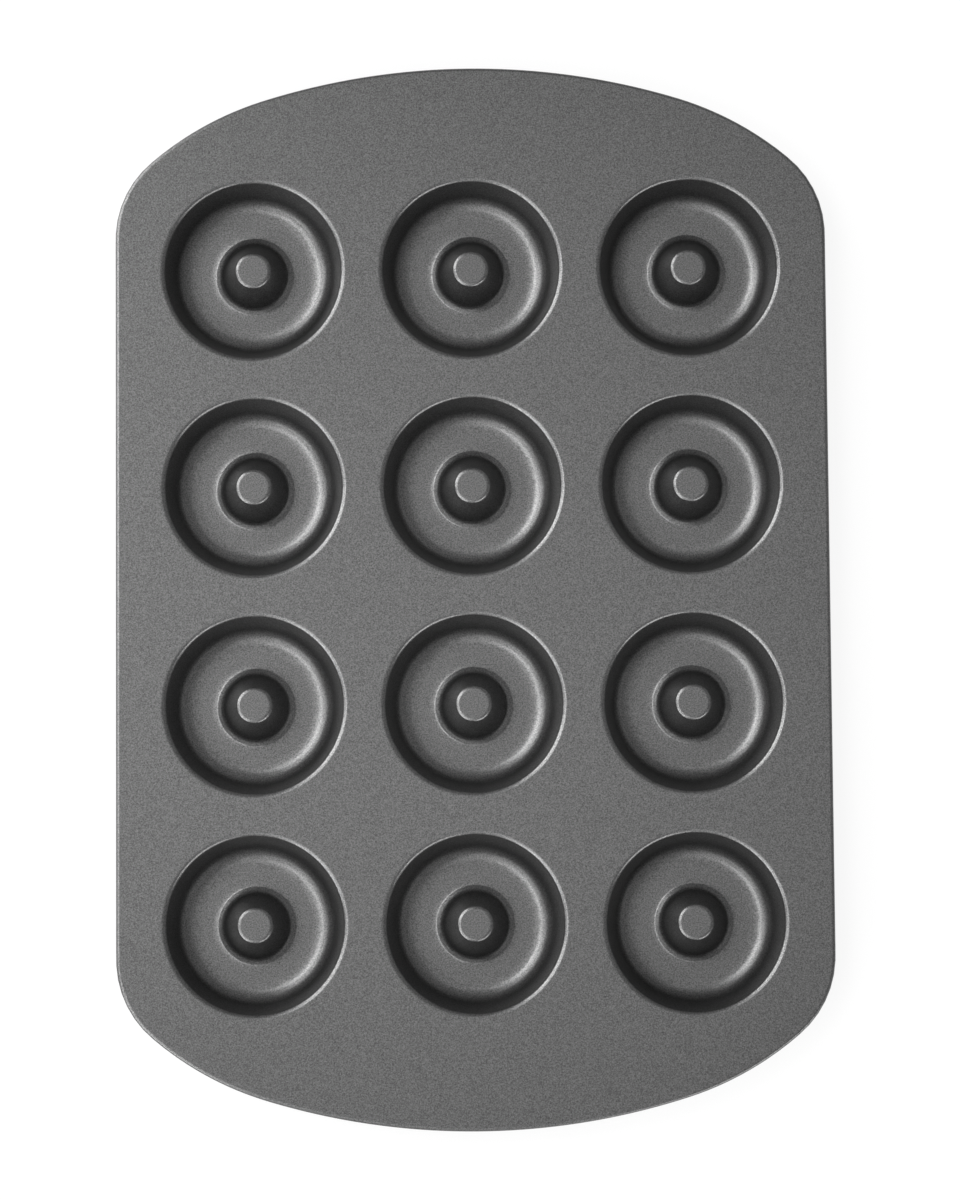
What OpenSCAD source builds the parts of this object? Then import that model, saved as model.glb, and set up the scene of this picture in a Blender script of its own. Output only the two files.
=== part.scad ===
// Doughnut pan: one sheet of coated steel, pressed into ring-shaped cavities and rolled at its edge.
// The cavities' floors rest on z = 0, the width runs along X and the length along Y.

/* [Pan] */
// Overall width across the straight sides
pan_w = 274; // [256:1:300]
// Overall length between the bowed ends
pan_l = 409; // [370:1:450]
// Overall height from the cavities' floors to the flat top
pan_h = 17; // [15:0.5:18.5]
// Thickness of the pressed sheet
sheet_t = 0.6; // [0.4:0.1:1]

/* [Outline] */
// Radius of the four corners
corner_r = 39; // [25:1:60]
// Radius of the shoulders between a corner and an end
shoulder_r = 122; // [100:1:150]
// Radius of the bowed ends
end_r = 270; // [230:5:400]
// Width of each bowed end, from shoulder to shoulder
end_w = 160; // [120:1:190]

/* [Rolled edge] */
// Outer radius of the roll that hangs under the edge
roll_r = 1.6; // [1.2:0.1:3]
// Angle through which the edge is rolled
roll_turn = 270; // [180:10:300]

/* [Cavities] */
// Cavities across the width
cavity_cols = 3; // [1:1:3]
// Cavities along the length
cavity_rows = 4; // [1:1:4]
// Distance between the centres of neighbouring cavities
cavity_pitch = 84; // [80:1:90]
// Diameter of a cavity's mouth, where it leaves the flat top
mouth_d = 71.5; // [68:0.5:76]
// Radius of the bend at the mouth
mouth_bend_r = 2; // [1.5:0.1:4]
// Lean of the cavity's wall away from upright
wall_draft = 19; // [8:1:24]
// Radius between the wall and the floor
floor_bend_r = 7.2; // [4:0.2:9]
// Diameter of the flat ring that the floor rests on, at its middle
floor_flat_d = 39; // [37:0.5:43]
// Width of that flat ring
floor_flat_w = 3; // [1:0.5:5]
// Radius of the shallow rise of the floor on both sides of the flat ring
floor_rise_r = 30; // [20:1:60]

/* [Centre posts] */
// Diameter of the flat on top of a post
post_d = 11; // [8:0.5:12]
// Radius of the bend round that flat
post_bend_r = 1.6; // [1:0.1:2.6]
// Lean of the post's side away from upright
post_draft = 23; // [14:1:25]
// Drop of the post's top below the flat top
post_drop = 0.7; // [0:0.1:4]
// Radius between the post's side and the ramp at its foot
foot_bend_r = 3.7; // [2:0.1:4.5]
// Slope of the ramp at the post's foot
ramp_slope = 26.5; // [20:0.5:34]
// Diameter of the ramp's outer edge, where it meets the floor
ramp_d = 30.2; // [29:0.2:32]
// Radius between the ramp and the floor
ramp_edge_r = 1.3; // [1:0.1:2.5]

/* [Hidden] */

// Width of the flat strips where the pressed areas and the edge run into the flat top
land = 1;
// Largest gap between the outline's arcs and the straight lines that stand for them
arc_error = 0.08;
// Turn between two points of a bend
bend_step = 15;
// Turn between two points of the floor's rises
rise_step = 3;
// Turn between two points of the rolled edge
roll_step = 30;

function reverse(list) = [for (i = [len(list) - 1 : -1 : 0]) list[i]];
function tail(list) = [for (i = [1 : len(list) - 1]) list[i]];
function heading(angle) = [cos(angle), sin(angle)];
function angle_to(from, to) = atan2(to.y - from.y, to.x - from.x);

// Points of an arc round a centre, from one direction to another
function arc(centre, radius, from, to, step) =
    let (count = ceil(abs(to - from) / step))
    [for (i = [0 : count]) centre + radius * heading(from + (to - from) * i / count)];

// Outline of the pan, as arcs that run into each other smoothly
end_centre = [0, pan_l / 2 - end_r];
end_angle = acos(end_w / 2 / end_r);
shoulder_centre = end_centre + (end_r - shoulder_r) * heading(end_angle);
corner_x = pan_w / 2 - corner_r;
corner_angle = acos((corner_x - shoulder_centre.x) / (shoulder_r - corner_r));
corner_centre = shoulder_centre + (shoulder_r - corner_r) * heading(corner_angle);

// Stations along one arc of the outline: its centre, its radius and the outward direction at each
function arc_stations(centre, radius, from, to) =
    let (count = ceil((to - from) / (2 * acos(1 - arc_error / radius))))
    [for (i = [0 : count]) [centre, radius, heading(from + (to - from) * i / count)]];

// Point of the outline at a station, moved outwards by a distance
function outline_point(station, out) = station[0] + (station[1] + out) * station[2];

function mirrored(stations, sx, sy) =
    [for (s = stations)
        [[sx * s[0].x, sy * s[0].y], s[1], [sx * s[2].x, sy * s[2].y]]];

// From the right side's upper end to the middle of the far end
quarter = concat(
    arc_stations(corner_centre, corner_r, 0, corner_angle),
    tail(arc_stations(shoulder_centre, shoulder_r, corner_angle, end_angle)),
    tail(arc_stations(end_centre, end_r, end_angle, 90)));
outline = concat(
    quarter,
    tail(reverse(mirrored(quarter, -1, 1))),
    mirrored(quarter, -1, -1),
    tail(reverse(mirrored(quarter, 1, -1))));

// Section of the rolled edge: distance outwards from the outline, and height
roll_centre = [-roll_r, pan_h - roll_r];
roll_section = concat(
    [[-roll_r - 2 * land, pan_h]],
    arc(roll_centre, roll_r, 90, 90 - roll_turn, roll_step),
    reverse(arc(roll_centre, roll_r - sheet_t, 90, 90 - roll_turn, roll_step)),
    [[-roll_r - 2 * land, pan_h - sheet_t]]);

// Section of a cavity: arcs for the mouth's bend, the bend at the wall's foot, the floor's
// outer and inner rise, the ramp's edge, the post's foot and the post's bend. The straight
// stretches between them touch both neighbours.
mouth_r = mouth_d / 2;
mouth_centre = [mouth_r, pan_h - mouth_bend_r];
outer_rise_centre = [(floor_flat_d + floor_flat_w) / 2, sheet_t + floor_rise_r];
inner_rise_centre = [(floor_flat_d - floor_flat_w) / 2, sheet_t + floor_rise_r];
post_centre = [post_d / 2, pan_h - post_drop - post_bend_r];

// Centre of a bend that touches one of the floor's rises: it lies along a line from a point,
// as far from the rise's centre as the two radii differ
function on_rise(rise_centre, from, along, radius) =
    let (offset = from - rise_centre, reach = offset * along)
    from + along * (sqrt(reach^2 - offset * offset + (floor_rise_r - radius)^2) - reach);

floor_bend_centre = on_rise(outer_rise_centre,
    mouth_centre + (mouth_bend_r + floor_bend_r) * heading(180 - wall_draft),
    heading(-90 - wall_draft), floor_bend_r);

// The ramp's line passes through the place on the inner rise that its diameter gives
ramp_facing = heading(90 - ramp_slope);
ramp_end_x = ramp_d / 2 - inner_rise_centre.x;
ramp_end = inner_rise_centre + [ramp_end_x, -sqrt(floor_rise_r^2 - ramp_end_x^2)];
post_down = heading(post_draft - 90);
foot_start = post_centre + (post_bend_r + foot_bend_r) * heading(post_draft);
foot_centre = foot_start
    + post_down * (((ramp_end - foot_start) * ramp_facing + foot_bend_r) / (post_down * ramp_facing));
edge_centre = on_rise(inner_rise_centre, foot_centre + (ramp_edge_r - foot_bend_r) * ramp_facing,
    heading(-ramp_slope), ramp_edge_r);

outer_rise_angle = angle_to(outer_rise_centre, floor_bend_centre);
inner_rise_angle = angle_to(inner_rise_centre, edge_centre);

// One face of the pressed sheet, from the mouth to the axis, at a depth below its upper face
function cavity_face(depth) = concat(
    [[mouth_r + 2 * land, pan_h - depth]],
    arc(mouth_centre, mouth_bend_r - depth, 90, 180 - wall_draft, bend_step),
    arc(floor_bend_centre, floor_bend_r + depth, -wall_draft, outer_rise_angle, bend_step),
    tail(arc(outer_rise_centre, floor_rise_r + depth, outer_rise_angle, -90, rise_step)),
    arc(inner_rise_centre, floor_rise_r + depth, -90, inner_rise_angle, rise_step),
    tail(arc(edge_centre, ramp_edge_r + depth, inner_rise_angle, -90 - ramp_slope, bend_step)),
    arc(foot_centre, foot_bend_r + depth, -90 - ramp_slope, post_draft - 180, bend_step),
    arc(post_centre, post_bend_r - depth, post_draft, 90, bend_step),
    [[0, pan_h - post_drop - depth]]);

module at_cavities() {
    for (col = [0 : cavity_cols - 1], row = [0 : cavity_rows - 1])
        translate(cavity_pitch * [col - (cavity_cols - 1) / 2, row - (cavity_rows - 1) / 2])
            children();
}

module cavity() {
    rotate_extrude($fn = 96)
        polygon(concat(cavity_face(0), reverse(cavity_face(sheet_t))));
}

module flat_top() {
    translate([0, 0, pan_h - sheet_t])
        linear_extrude(sheet_t)
            difference() {
                polygon([for (station = outline) outline_point(station, -roll_r - land)]);
                at_cavities() circle(r = mouth_r + land, $fn = 96);
            }
}

// The edge's section carried round the outline
module rolled_edge() {
    rings = len(outline);
    sides = len(roll_section);
    points = [for (station = outline, p = roll_section)
        let (place = outline_point(station, p.x))
        [place.x, place.y, p.y]];
    faces = [for (i = [0 : rings - 1], j = [0 : sides - 1])
        let (next_i = (i + 1) % rings, next_j = (j + 1) % sides)
        [i * sides + j, next_i * sides + j, next_i * sides + next_j, i * sides + next_j]];
    polyhedron(points, faces);
}

module pan() {
    color("dimgray")
        union() {
            flat_top();
            rolled_edge();
            at_cavities() cavity();
        }
}

pan();
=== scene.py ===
"""A doughnut pan of coated sheet steel, seen from above on a white table."""
import math

import bmesh
import bpy
import numpy as np
from mathutils import Matrix, Vector


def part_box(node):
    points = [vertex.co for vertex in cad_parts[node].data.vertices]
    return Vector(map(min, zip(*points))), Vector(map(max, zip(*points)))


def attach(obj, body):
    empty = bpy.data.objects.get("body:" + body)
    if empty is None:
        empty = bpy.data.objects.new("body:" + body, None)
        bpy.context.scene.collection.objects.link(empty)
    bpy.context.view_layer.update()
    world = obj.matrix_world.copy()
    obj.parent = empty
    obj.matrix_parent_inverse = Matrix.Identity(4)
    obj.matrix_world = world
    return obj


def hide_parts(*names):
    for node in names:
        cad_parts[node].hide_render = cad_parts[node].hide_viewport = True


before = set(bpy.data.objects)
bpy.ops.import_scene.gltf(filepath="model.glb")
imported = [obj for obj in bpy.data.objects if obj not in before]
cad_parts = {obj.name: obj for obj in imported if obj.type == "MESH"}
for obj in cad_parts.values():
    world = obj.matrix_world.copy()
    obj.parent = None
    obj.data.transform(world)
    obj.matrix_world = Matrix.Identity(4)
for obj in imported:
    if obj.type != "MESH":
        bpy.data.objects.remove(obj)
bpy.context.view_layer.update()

# Sizes of the pan in millimetres and degrees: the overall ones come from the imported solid, and
# the rest are those of the part's source, apart from the roll's bends, which are tighter here
MM = 0.001
pan_low, pan_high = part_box("pan")
PAN_W = (pan_high.x - pan_low.x) / MM
PAN_L = (pan_high.y - pan_low.y) / MM
PAN_H = (pan_high.z - pan_low.z) / MM
SHEET = 0.6

# Outline: corners, shoulders and bowed ends
CORNER_R = 39.0
SHOULDER_R = 122.0
END_R = 270.0
END_W = 160.0

# Rolled edge: half the roll's height and width, and the radius of its bends
ROLL_R = 1.6
ROLL_BEND_R = 1.3

# Cavities: their places, their mouths and walls, and the rises of their floors
COLUMNS = 3
ROWS = 4
PITCH = 84.0
MOUTH_R = 35.75
MOUTH_BEND_R = 2.0
WALL_DRAFT = 19.0
FLOOR_BEND_R = 7.2
FLOOR_FLAT_R = 19.5
FLOOR_FLAT_W = 3.0
FLOOR_RISE_R = 30.0

# Centre posts, and the ramps round their feet
POST_R = 5.5
POST_BEND_R = 1.6
POST_DRAFT = 23.0
POST_DROP = 0.7
FOOT_BEND_R = 3.7
RAMP_SLOPE = 26.5
RAMP_R = 15.1
RAMP_EDGE_R = 1.3

# How finely the sheet is drawn: the points along each side of a cell, the pieces of a floor's
# rise, and the turn in degrees between two points of the bends and of the outline's arcs
SIDE_POINTS = 20
RISE_STEPS = 3
TOP_STEP = 8.0
UNDER_STEP = 30.0
ROLL_STEP = 15.0
ROLL_INNER_STEP = 45.0
OUTLINE_STEP = 0.02
# Width of the narrow strips beside a bend that keep its shading off what is straight, and the
# shortest straight stretch that gets them
STRIP = 0.3
SHORTEST_STRAIGHT = 1.2
# Places of the flat top's points between a cavity's mouth and the cell's boundary
LAND_SHARES = (0.5, 0.98, 1)
# Distance within which two points are one
MERGE = 0.002


def arc(centre, radius, start, stop, step):
    """Points of a circular arc: the centre plus the radius times the cosine and sine of a
    direction that goes evenly from start to stop, in degrees."""
    count = math.ceil(abs(stop - start) / step)
    angle = np.radians(np.linspace(start, stop, count + 1))
    return np.array(centre) + radius * np.stack([np.cos(angle), np.sin(angle)], axis=1)


def heading(angle):
    """The direction at an angle in degrees: its cosine and its sine."""
    return np.array([math.cos(math.radians(angle)), math.sin(math.radians(angle))])


def on_rise(rise, start, along, radius):
    """Centre of a bend that touches one of the floor's rises: on the line from start along a
    direction, where its distance from the rise's centre is the difference of the two radii."""
    offset = start - rise
    reach = offset @ along
    apart = FLOOR_RISE_R - radius
    return start + along * (math.sqrt(reach ** 2 - offset @ offset + apart ** 2) - reach)


def cavity_arcs(depth, step):
    """The arcs of the pressed sheet's section from a cavity's axis to its mouth, as radius and
    height: the post's bend, its foot, the ramp's edge, the floor's inner and outer rise with
    the flat between them, the bend at the wall's foot, and the mouth's bend. The leaning lines
    between them touch both neighbours. Depth is how far below the upper face it lies."""
    mouth = np.array([MOUTH_R, PAN_H - MOUTH_BEND_R])
    post = np.array([POST_R, PAN_H - POST_DROP - POST_BEND_R])
    outer_rise = np.array([FLOOR_FLAT_R + FLOOR_FLAT_W / 2, SHEET + FLOOR_RISE_R])
    inner_rise = np.array([FLOOR_FLAT_R - FLOOR_FLAT_W / 2, SHEET + FLOOR_RISE_R])
    wall_start = mouth + (MOUTH_BEND_R + FLOOR_BEND_R) * heading(180 - WALL_DRAFT)
    wall_foot = on_rise(outer_rise, wall_start, heading(-90 - WALL_DRAFT), FLOOR_BEND_R)
    facing = heading(90 - RAMP_SLOPE)
    ramp_x = RAMP_R - inner_rise[0]
    ramp_end = inner_rise + np.array([ramp_x, -math.sqrt(FLOOR_RISE_R ** 2 - ramp_x ** 2)])
    down = heading(POST_DRAFT - 90)
    start = post + (POST_BEND_R + FOOT_BEND_R) * heading(POST_DRAFT)
    foot = start + down * (((ramp_end - start) @ facing + FOOT_BEND_R) / (down @ facing))
    edge_start = foot + (RAMP_EDGE_R - FOOT_BEND_R) * facing
    edge = on_rise(inner_rise, edge_start, heading(-RAMP_SLOPE), RAMP_EDGE_R)
    outer_angle = math.degrees(math.atan2(*(wall_foot - outer_rise)[::-1]))
    inner_angle = math.degrees(math.atan2(*(edge - inner_rise)[::-1]))
    outer_step = (outer_angle + 90) / RISE_STEPS
    inner_step = (-90 - inner_angle) / RISE_STEPS
    return [
        arc(post, POST_BEND_R - depth, 90, POST_DRAFT, step),
        arc(foot, FOOT_BEND_R + depth, POST_DRAFT - 180, -90 - RAMP_SLOPE, step),
        arc(edge, RAMP_EDGE_R + depth, -90 - RAMP_SLOPE, inner_angle, step),
        arc(inner_rise, FLOOR_RISE_R + depth, inner_angle, -90, inner_step)[1:],
        arc(outer_rise, FLOOR_RISE_R + depth, -90, outer_angle, outer_step),
        arc(wall_foot, FLOOR_BEND_R + depth, outer_angle, -WALL_DRAFT, step)[1:],
        arc(mouth, MOUTH_BEND_R - depth, 180 - WALL_DRAFT, 90, step),
    ]


def cavity_face(depth, step):
    """One face of the pressed sheet from a cavity's axis to just past its mouth: its arcs, with
    a point a strip's width inside each end of a straight stretch between two of them."""
    arcs = cavity_arcs(depth, step)
    top = PAN_H - depth
    parts = [[(0, top - POST_DROP), (POST_R - STRIP, top - POST_DROP)], arcs[0]]
    for before, after in zip(arcs, arcs[1:]):
        gap = after[0] - before[-1]
        length = math.hypot(*gap)
        if length > SHORTEST_STRAIGHT:
            strip = gap * STRIP / length
            parts.append([before[-1] + strip, after[0] - strip])
        parts.append(after)
    parts.append([(MOUTH_R + STRIP, top)])
    return np.concatenate(parts)


class Outline:
    """The line round the pan where its flat top meets the rolled edge: a straight side, a
    corner, a shoulder and half a bowed end, each running smoothly into the next, and their
    mirror images. A place on it is a length along it, from the middle of the right side."""

    def __init__(self):
        end_centre = np.array([0, PAN_L / 2 - END_R])
        end_angle = math.degrees(math.acos(END_W / 2 / END_R))
        shoulder_centre = end_centre + (END_R - SHOULDER_R) * heading(end_angle)
        corner_x = PAN_W / 2 - CORNER_R
        apart = SHOULDER_R - CORNER_R
        corner_angle = math.degrees(math.acos((corner_x - shoulder_centre[0]) / apart))
        corner_centre = shoulder_centre + apart * heading(corner_angle)
        quarter = np.concatenate([
            [(PAN_W / 2 - ROLL_R, 0)],
            arc(corner_centre, CORNER_R - ROLL_R, 0, corner_angle, OUTLINE_STEP),
            arc(shoulder_centre, SHOULDER_R - ROLL_R, corner_angle, end_angle, OUTLINE_STEP)[1:],
            arc(end_centre, END_R - ROLL_R, end_angle, 90, OUTLINE_STEP)[1:],
        ])
        self.quarter = quarter
        self.quarter_s = self.lengths_to(quarter)
        self.length = 4 * self.quarter_s[-1]
        across = quarter[::-1][1:] * (-1, 1)
        self.points = np.concatenate([quarter, across, -quarter[1:], -across[:-1]])
        self.s = self.lengths_to(self.points)
        ahead = np.roll(self.points, -1, axis=0) - np.roll(self.points, 1, axis=0)
        outward = np.stack([ahead[:, 1], -ahead[:, 0]], axis=1)
        self.outward = outward / np.linalg.norm(outward, axis=1)[:, None]

    @staticmethod
    def lengths_to(points):
        """The length of the line through the points, up to each of them."""
        steps = np.linalg.norm(np.diff(points, axis=0), axis=1)
        return np.concatenate([[0], np.cumsum(steps)])

    def at(self, s):
        """Points of the outline at the lengths s, and the directions that point outwards."""
        pairs = [np.stack([np.interp(s, self.s, values[:, axis], period=self.length)
                           for axis in (0, 1)], axis=1) for values in (self.points, self.outward)]
        pairs[1] /= np.linalg.norm(pairs[1], axis=1)[:, None]
        return pairs

    def mirrored(self, s, sx, sy):
        """The length of the mirror image of a place on the first quarter."""
        if sx > 0:
            return s if sy > 0 else self.length - s
        return self.length / 2 - s if sy > 0 else self.length / 2 + s

    def crossing(self, x, y):
        """The length at which the outline crosses the line at x or the line at y. The other of
        the two is infinite, with the sign of its side. Where both are infinite, it is the
        length to the middle of the corner on those sides."""
        sx, sy = (1 if v >= 0 else -1 for v in (x, y))
        if math.isinf(x) and math.isinf(y):
            diagonal = self.quarter[:, 0] - PAN_W / 2 - (self.quarter[:, 1] - PAN_L / 2)
            s = np.interp(0, diagonal[::-1], self.quarter_s[::-1])
        elif math.isinf(x):
            s = np.interp(abs(y), self.quarter[:, 1], self.quarter_s)
        else:
            s = np.interp(abs(x), self.quarter[::-1, 0], self.quarter_s[::-1])
        return self.mirrored(s, sx, sy)


outline = Outline()


# The sides of a cell, anticlockwise: which way each one faces, and its two corners
CELL_SIDES = (
    ((1, 0), (1, -1), (1, 1)),
    ((0, 1), (1, 1), (-1, 1)),
    ((-1, 0), (-1, 1), (-1, -1)),
    ((0, -1), (-1, -1), (1, -1)),
)


def cell_sides(column, row):
    """The centre and the four sides of a cell, which is one cavity's share of the flat top. A
    side that it shares with a neighbour is straight, and a side at the pan's edge follows the
    outline. Each is (points, outward directions or None)."""
    centre = np.array([column - (COLUMNS - 1) / 2, row - (ROWS - 1) / 2]) * PITCH
    outer = {(1, 0): column == COLUMNS - 1, (-1, 0): column == 0,
             (0, 1): row == ROWS - 1, (0, -1): row == 0}

    def corner(sx, sy):
        x = sx * math.inf if outer[(sx, 0)] else centre[0] + sx * PITCH / 2
        y = sy * math.inf if outer[(0, sy)] else centre[1] + sy * PITCH / 2
        if math.isinf(x) or math.isinf(y):
            s = outline.crossing(x, y)
            return s, outline.at(np.array([s]))[0][0]
        return None, np.array([x, y])

    sides = []
    for facing, start, stop in CELL_SIDES:
        (from_s, from_point), (to_s, to_point) = corner(*start), corner(*stop)
        if outer[facing]:
            to_s += outline.length if to_s <= from_s else 0
            sides.append(outline.at(np.linspace(from_s, to_s, SIDE_POINTS + 1)))
        else:
            share = np.linspace(0, 1, SIDE_POINTS + 1)[:, None]
            sides.append((from_point + share * (to_point - from_point), None))
    return centre, sides


def cell_grid(centre, boundary, depth, step):
    """One face of the sheet in a cavity's cell: rays go from the axis to the points of the
    cell's boundary. Each ray follows the cavity's section to its mouth and then the flat top."""
    away = boundary - centre
    away /= np.linalg.norm(away, axis=1)[:, None]
    section = cavity_face(depth, step)
    pressed = np.concatenate([
        centre + section[:, :1, None] * away[None],
        np.broadcast_to(section[:, 1, None, None], (len(section), len(away), 1))], axis=2)
    land = centre + (MOUTH_R + STRIP) * away
    share = np.array(LAND_SHARES)[:, None, None]
    flat = land + share * (boundary - land)
    flat = np.concatenate([flat, np.full(flat.shape[:2] + (1,), PAN_H - depth)], axis=2)
    return np.concatenate([pressed, flat])


def roll_face(depth, step):
    """One face of the rolled edge, as distance outwards from the line where the flat ends, and
    height: the flat goes on to a bend, the edge's outer side goes down, a second bend leads
    back under the flat, and a third one up to the roll's open end. Each bend's centre is a
    bend's radius inside the roll, and depth is how far below the outer face it lies."""
    reach = ROLL_R - ROLL_BEND_R
    radius = ROLL_BEND_R - depth
    high, low = PAN_H - ROLL_BEND_R, PAN_H - 2 * ROLL_R + ROLL_BEND_R
    return np.concatenate([
        [(0, PAN_H - depth)],
        arc((reach, high), radius, 90, 0, step),
        arc((reach, low), radius, 0, -90, step),
        arc((-reach, low), radius, -90, -180, step),
        [(depth - ROLL_R, PAN_H - ROLL_R)]])


def roll_section():
    """Section of the rolled edge: its outer face from the flat's upper face, and its inner one
    back to the flat's lower face."""
    return np.concatenate([roll_face(0, ROLL_STEP), roll_face(SHEET, ROLL_INNER_STEP)[::-1]])


def edge_grid(points, outward):
    """The rolled edge along one stretch of the outline: at each point the section stands
    upright and square to the outline."""
    section = roll_section()
    place = points[None] + section[:, :1, None] * outward[None]
    height = np.broadcast_to(section[:, 1, None, None], place.shape[:2] + (1,))
    return np.concatenate([place, height], axis=2)


def grid_faces(rows, columns, closed, first):
    """Four-cornered faces between the points of a grid, which closes on itself if asked."""
    row = np.arange(rows - 1)[:, None]
    column = np.arange(columns if closed else columns - 1)[None]
    after = (column + 1) % columns
    corners = [row * columns + column, row * columns + after, (row + 1) * columns + after,
               (row + 1) * columns + column]
    return np.stack([c.ravel() for c in corners], axis=1) + first


def mesh_object(name, grids):
    """One mesh of all the grids, whose shared points are merged and whose faces point
    outwards. Each grid is (points in millimetres, whether it closes on itself)."""
    points, faces, first = [], [], 0
    for grid, closed in grids:
        points.append(grid.reshape(-1, 3) * MM)
        faces.append(grid_faces(*grid.shape[:2], closed, first))
        first += len(points[-1])
    mesh = bpy.data.meshes.new(name)
    mesh.from_pydata(np.concatenate(points).tolist(), [], np.concatenate(faces).tolist())
    work = bmesh.new()
    work.from_mesh(mesh)
    bmesh.ops.remove_doubles(work, verts=work.verts, dist=MERGE * MM)
    bmesh.ops.recalc_face_normals(work, faces=work.faces)
    work.to_mesh(mesh)
    work.free()
    mesh.shade_smooth()
    obj = bpy.data.objects.new(name, mesh)
    bpy.context.scene.collection.objects.link(obj)
    return obj


def pan_sheet():
    """The whole pan: the upper and the lower face of every cavity's cell, and the rolled edge."""
    grids = []
    for column in range(COLUMNS):
        for row in range(ROWS):
            centre, sides = cell_sides(column, row)
            boundary = np.concatenate([points[:-1] for points, _ in sides])
            grids.append((cell_grid(centre, boundary, 0, TOP_STEP), True))
            grids.append((cell_grid(centre, boundary, SHEET, UNDER_STEP), True))
            grids += [(edge_grid(points, outward), False)
                      for points, outward in sides if outward is not None]
    return mesh_object("pan_sheet", grids)


class Socket:
    """A shader value that takes part in plain arithmetic, which adds its Math nodes."""

    def __init__(self, shader, output):
        self.shader, self.output = shader, output

    def maths(self, operation, *values):
        """The result of a Math node on the values."""
        inputs = dict(enumerate(values))
        return self.shader.node("Math", {"operation": operation}, inputs)["Value"]

    def __add__(self, other):
        return self.maths("ADD", self, other)

    def __sub__(self, other):
        return self.maths("SUBTRACT", self, other)

    def __rsub__(self, other):
        return self.maths("SUBTRACT", other, self)

    def __mul__(self, other):
        return self.maths("MULTIPLY", self, other)

    __radd__, __rmul__ = __add__, __mul__


class Shader:
    """The node tree of a material or of the world."""

    def __init__(self, owner):
        owner.use_nodes = True
        self.tree = owner.node_tree
        self.tree.nodes.clear()

    def node(self, kind, settings=None, inputs=None):
        """Adds a node, sets it, and gives its sockets their values or links. Returns its
        outputs by name."""
        node = self.tree.nodes.new("ShaderNode" + kind)
        for name, value in (settings or {}).items():
            setattr(node, name, value)
        for name, value in (inputs or {}).items():
            if isinstance(value, Socket):
                self.tree.links.new(value.output, node.inputs[name])
            else:
                node.inputs[name].default_value = value
        return {output.name: Socket(self, output) for output in node.outputs if output.enabled}


def grey(level):
    """A plain grey of a level, with full alpha."""
    return (level, level, level, 1)


# Coating: its level at the pan's middle, the share of it that painted shade takes off at the
# corners, and how far those are from the middle
COATING = 0.16
PAINTED_CORNER_SHADE = 0.26
CORNER_REACH = 0.247
COATING_METAL = 0.96
COATING_ROUGHNESS = 0.31
# The fleck and the orange peel: noise grains per metre, finer layers, the weight of each
# layer, and how strongly they show
FLECK_SCALE = 1900
FLECK_LAYERS = 2
FLECK_LAYER_WEIGHT = 0.7
FLECK_CONTRAST = 2.4
PEEL_SCALE = 1300
PEEL_LAYERS = 1
PEEL_LAYER_WEIGHT = 0.5
PEEL_STRENGTH = 0.2
PEEL_HEIGHT = 0.0001


def coating_material():
    """Satin dark grey coating over steel: it shines as a dull metal, with a fine bright and dark
    fleck and the faint orange peel of a sprayed film. Its colour also holds painted shade: its
    level falls with the square of the distance from the pan's middle, darker at the corners."""
    material = bpy.data.materials.new("grey_coating")
    shader = Shader(material)
    place = shader.node("TexCoord")["Object"]
    fleck = shader.node("TexNoise", {"noise_dimensions": "3D"}, {
        "Vector": place, "Scale": FLECK_SCALE, "Detail": FLECK_LAYERS,
        "Roughness": FLECK_LAYER_WEIGHT})["Fac"]
    along = shader.node("SeparateXYZ", {}, {"Vector": place})
    # Painted shade: the coating's level falls with the square of the distance from the middle,
    # darker towards the corners
    squared = along["X"] * along["X"] + along["Y"] * along["Y"]
    painted_shade = squared * (PAINTED_CORNER_SHADE / CORNER_REACH ** 2)
    base = ((fleck - 0.5) * FLECK_CONTRAST + 1) * (1 - painted_shade) * COATING
    base_colour = shader.node("CombineColor", {}, {
        "Red": base, "Green": base, "Blue": base})["Color"]
    peel = shader.node("TexNoise", {"noise_dimensions": "3D"}, {
        "Vector": place, "Scale": PEEL_SCALE, "Detail": PEEL_LAYERS,
        "Roughness": PEEL_LAYER_WEIGHT})["Fac"]
    bump = shader.node("Bump", {}, {
        "Strength": PEEL_STRENGTH, "Distance": PEEL_HEIGHT, "Height": peel})["Normal"]
    surface = shader.node("BsdfPrincipled", {}, {
        "Base Color": base_colour, "Metallic": COATING_METAL,
        "Roughness": COATING_ROUGHNESS, "Normal": bump})["BSDF"]
    shader.node("OutputMaterial", {}, {"Surface": surface})
    return material


# Camera: its place and its aim from the middle of the flat top, in metres, the turn of its
# picture in degrees, and its lens in millimetres, as the photograph's perspective gives them
CAMERA_PLACE = (0.00966, -0.12469, 1.52776)
CAMERA_AIM = (0.00271, -0.00228, 0)
CAMERA_TURN = 0.4543
LENS = 120


def turned(right, up, back):
    """The turn that takes the three axes to these directions."""
    return Matrix((right, up, back)).transposed().to_4x4()


def camera():
    """The camera looks down on the flat top, nearly square to it."""
    data = bpy.data.cameras.new("camera")
    data.lens = LENS
    data.clip_end = 2 * TABLE_REACH
    obj = bpy.data.objects.new("camera", data)
    bpy.context.scene.collection.objects.link(obj)
    up_to_top = Vector((0, 0, PAN_H * MM))
    place = Vector(CAMERA_PLACE) + up_to_top
    forward = (Vector(CAMERA_AIM) + up_to_top - place).normalized()
    turn = math.radians(CAMERA_TURN)
    right = forward.cross(Vector((math.sin(turn), math.cos(turn), 0))).normalized()
    up = right.cross(forward)
    obj.matrix_world = Matrix.Translation(place) @ turned(right, up, -forward)
    bpy.context.scene.camera = obj


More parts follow.
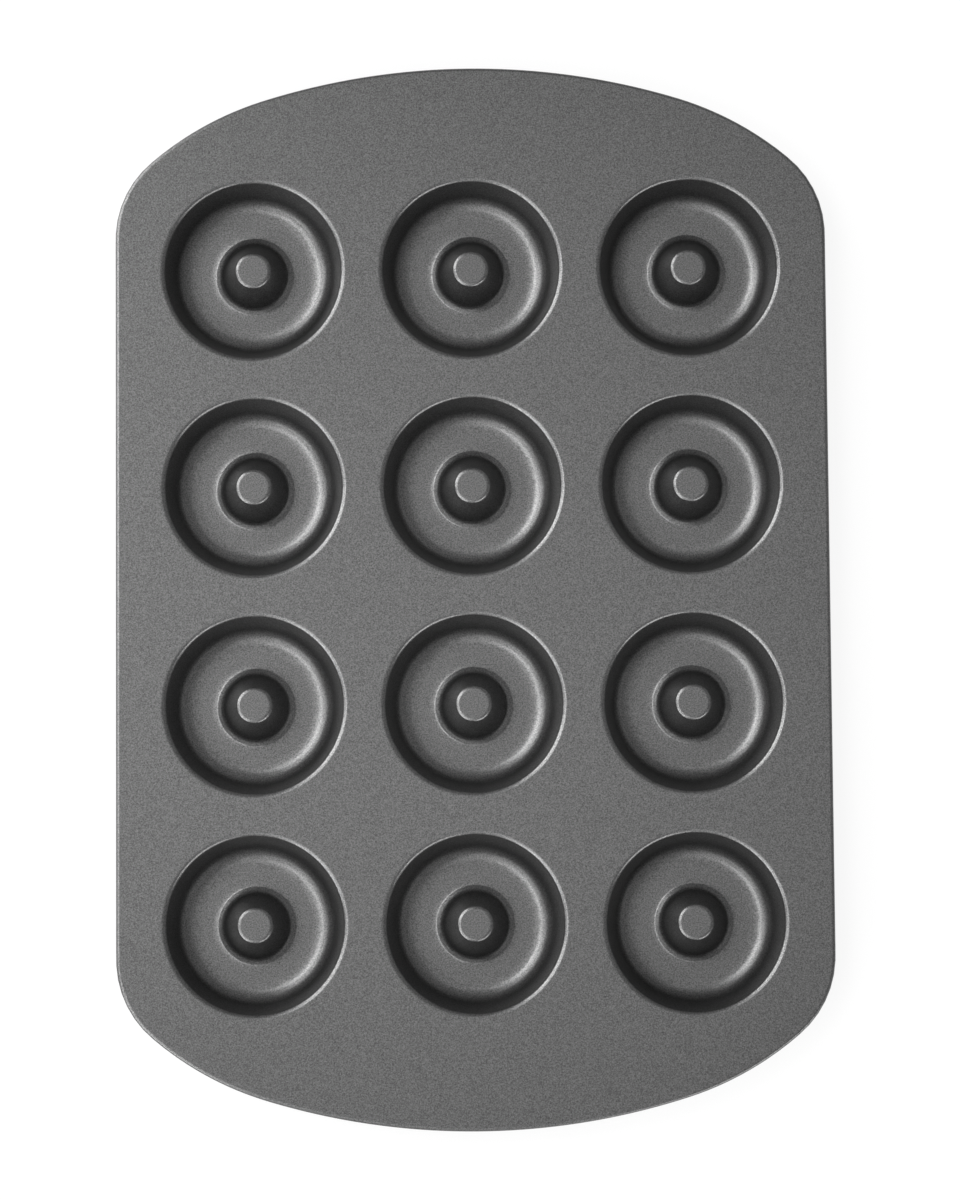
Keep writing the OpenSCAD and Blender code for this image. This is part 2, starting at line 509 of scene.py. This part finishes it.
# The studio's softboxes, as the pan sees them: name, middle azimuth and width, nearest and
# farthest angle from overhead, all in degrees, and radiance
SOFTBOX_DISTANCE = 6.0
SOFTBOXES = (
    ("tall_left", 146, 45, 20, 40, 5.9),
    ("tall_left_low", 146, 45, 48, 86, 5.0),
    ("left_fill", 180, 22, 12, 86, 1.4),
    ("near_left", 215, 47, 20, 42, 3.3),
    ("near_left_low", 221, 47, 52, 80, 4.8),
    ("near_fill", 259, 42, 16, 74, 0.8),
    ("near_right_low", 303, 45, 60, 87, 3.1),
    ("far_right", 67, 23, 12, 36, 0.8),
    ("right_high", 350, 50, 4, 34, 0.25),
    ("overhead", 0, 40, -6, 6, 0.6),
)
ROOM_LIGHT = 0.43


def softbox(name, azimuth, width, near, far, radiance):
    """A flat rectangular lamp that faces the pan and fills a stretch of the sky, given in degrees
    of azimuth and of angle from overhead. Its sides are twice the distance times the tangent of
    half each angle, the width times the sine of its middle angle as well. Straight overhead
    that sine is nothing, and the lamp is square."""
    turn, lean = math.radians(azimuth), math.radians((near + far) / 2)
    tall = 2 * SOFTBOX_DISTANCE * math.tan(math.radians((far - near) / 2))
    wide = 2 * SOFTBOX_DISTANCE * math.tan(math.radians(width / 2)) * math.sin(lean) or tall
    data = bpy.data.lights.new(name, "AREA")
    data.shape = "RECTANGLE"
    data.size, data.size_y = wide, tall
    data.energy = radiance * wide * tall * math.pi
    obj = bpy.data.objects.new(name, data)
    bpy.context.scene.collection.objects.link(obj)
    level = Vector((math.cos(turn), math.sin(turn), 0))
    away = level * math.sin(lean) + Vector((0, 0, math.cos(lean)))
    across = Vector((-math.sin(turn), math.cos(turn), 0))
    place = Matrix.Translation(away * SOFTBOX_DISTANCE)
    obj.matrix_world = place @ turned(across, away.cross(across), away)


def studio():
    """Plain soft studio light: tall softboxes to the left, weaker ones round the rest of the room,
    and a dim even light from everywhere."""
    world = bpy.data.worlds.new("studio")
    bpy.context.scene.world = world
    shader = Shader(world)
    light = shader.node("Background", {}, {"Color": grey(1), "Strength": ROOM_LIGHT})["Background"]
    shader.node("OutputWorld", {}, {"Surface": light})
    for box in SOFTBOXES:
        softbox(*box)


# Table: the share of its white that is its own, so that only the deeper shadow shows on it,
# its paint, how far it reaches, and its height, a hair lower than the pan's floors, so that the
# two share no plane
TABLE_GLOW = 0.87
TABLE_PAINT = 0.9
TABLE_ROUGHNESS = 0.8
TABLE_REACH = 30.0
TABLE_TOP = -0.00005


def table():
    """The white table that the pan stands on. To the camera, and in the pan's reflections, most
    of its white is its own and the rest is what the light and the pan's shadow make of it."""
    mesh = bpy.data.meshes.new("table")
    corners = [(x * TABLE_REACH, y * TABLE_REACH, TABLE_TOP)
               for x, y in ((-1, -1), (1, -1), (1, 1), (-1, 1))]
    mesh.from_pydata(corners, [], [(0, 1, 2, 3)])
    obj = bpy.data.objects.new("table", mesh)
    bpy.context.scene.collection.objects.link(obj)
    material = bpy.data.materials.new("white_table")
    shader = Shader(material)
    paint = shader.node("BsdfPrincipled", {}, {
        "Base Color": grey(TABLE_PAINT), "Roughness": TABLE_ROUGHNESS})["BSDF"]
    glow = shader.node("Emission", {}, {"Color": grey(1), "Strength": 1.0})["Emission"]
    path = shader.node("LightPath")
    seen = path["Is Camera Ray"] + path["Is Glossy Ray"] + path["Is Transmission Ray"]
    surface = shader.node("MixShader", {}, {0: seen * TABLE_GLOW, 1: paint, 2: glow})["Shader"]
    shader.node("OutputMaterial", {}, {"Surface": surface})
    mesh.materials.append(material)


camera()
table()
studio()
pan = pan_sheet()
pan.data.materials.append(coating_material())
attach(pan, "root")
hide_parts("pan")

bpy.context.scene.view_settings.view_transform = "Standard"
